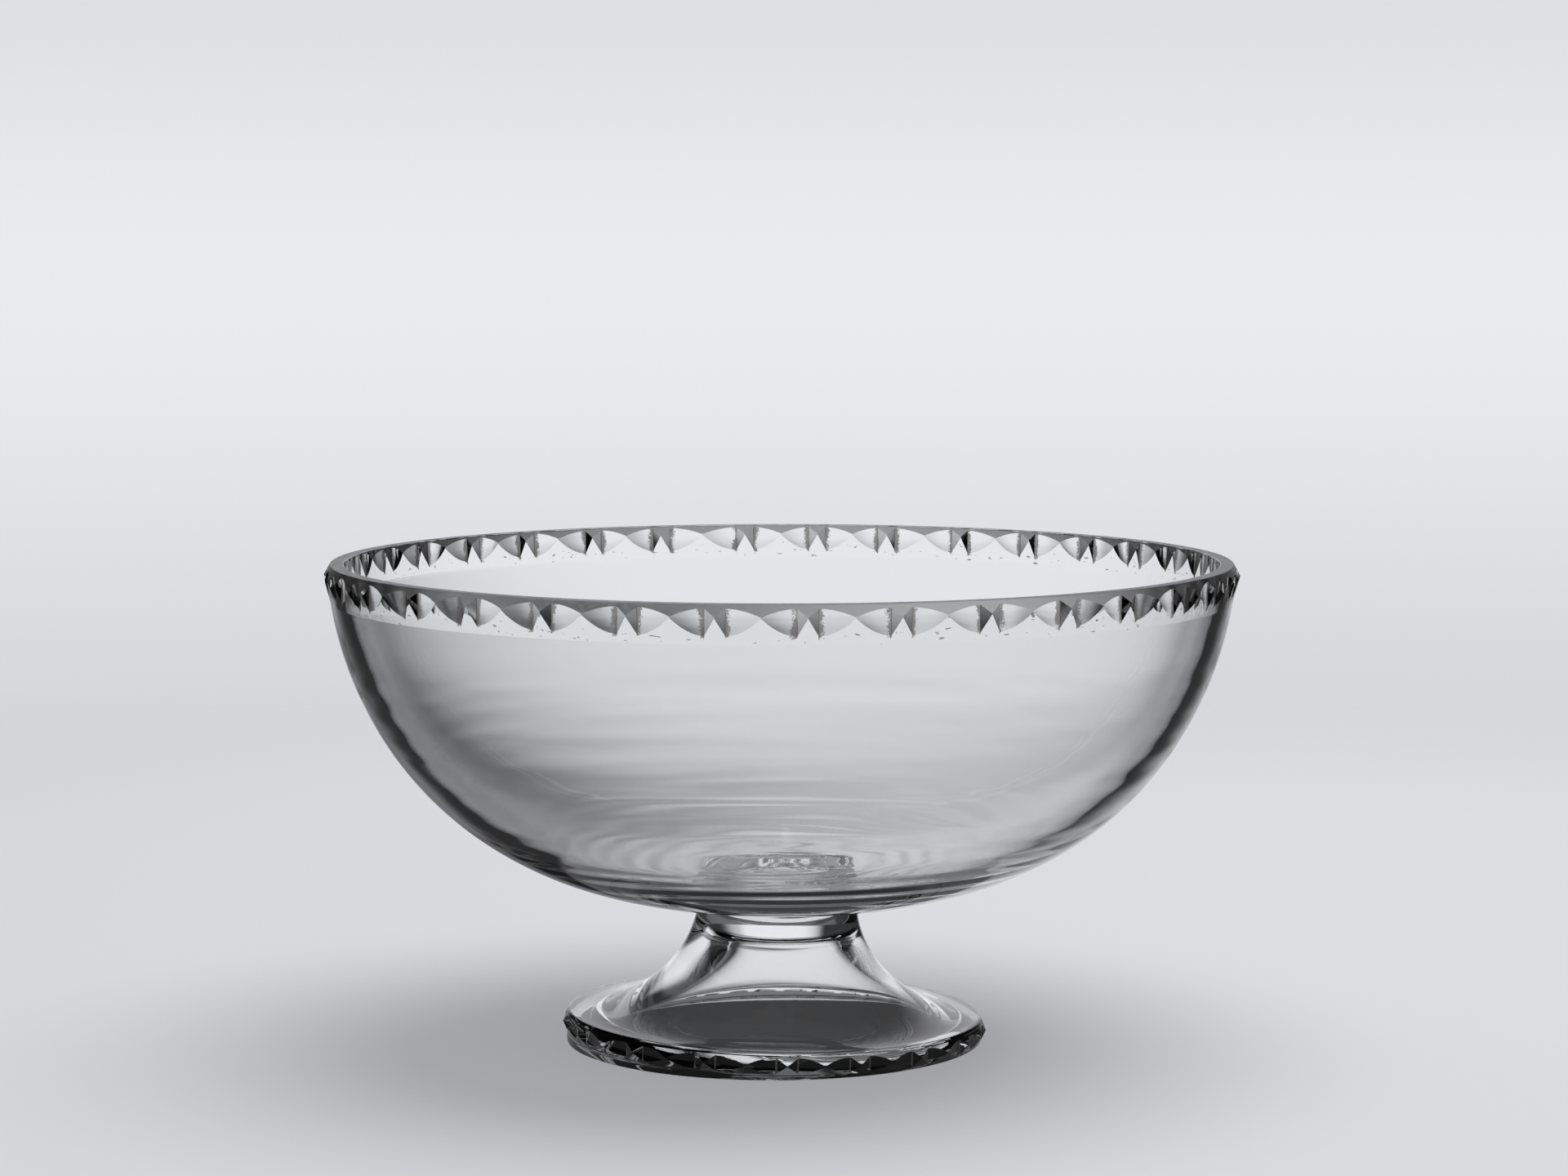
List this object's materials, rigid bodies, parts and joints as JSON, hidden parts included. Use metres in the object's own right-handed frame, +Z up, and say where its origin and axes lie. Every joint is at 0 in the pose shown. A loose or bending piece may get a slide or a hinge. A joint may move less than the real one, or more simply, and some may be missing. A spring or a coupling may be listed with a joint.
{
  "type": "trifle bowl",
  "caption": "Round footed serving bowl in clear glass: deep rounded body, thick cut rim band, short solid neck and hollow trumpet foot with a cut edge band.",
  "frame": {"origin": "centre of the base, on the surface that the foot stands on", "axes": "+Z up along the bowl's axis, -Y the front, +X to the right"},
  "size_m": [0.2396, 0.2397, 0.1271],
  "materials": {
    "bowl_glass": "clear blown glass, smooth, with faint waves and streaks",
    "cut_glass": "clear glass, cut and polished, with slightly rough cut lines",
    "foot_glass": "clear thick glass, smooth, ground flat where it stands"
  },
  "bodies": {
    "root": {"bowl": "bowl_glass", "rim_band": "cut_glass", "neck": "foot_glass", "foot": "foot_glass", "foot_band": "cut_glass"}
  },
  "joints": []
}
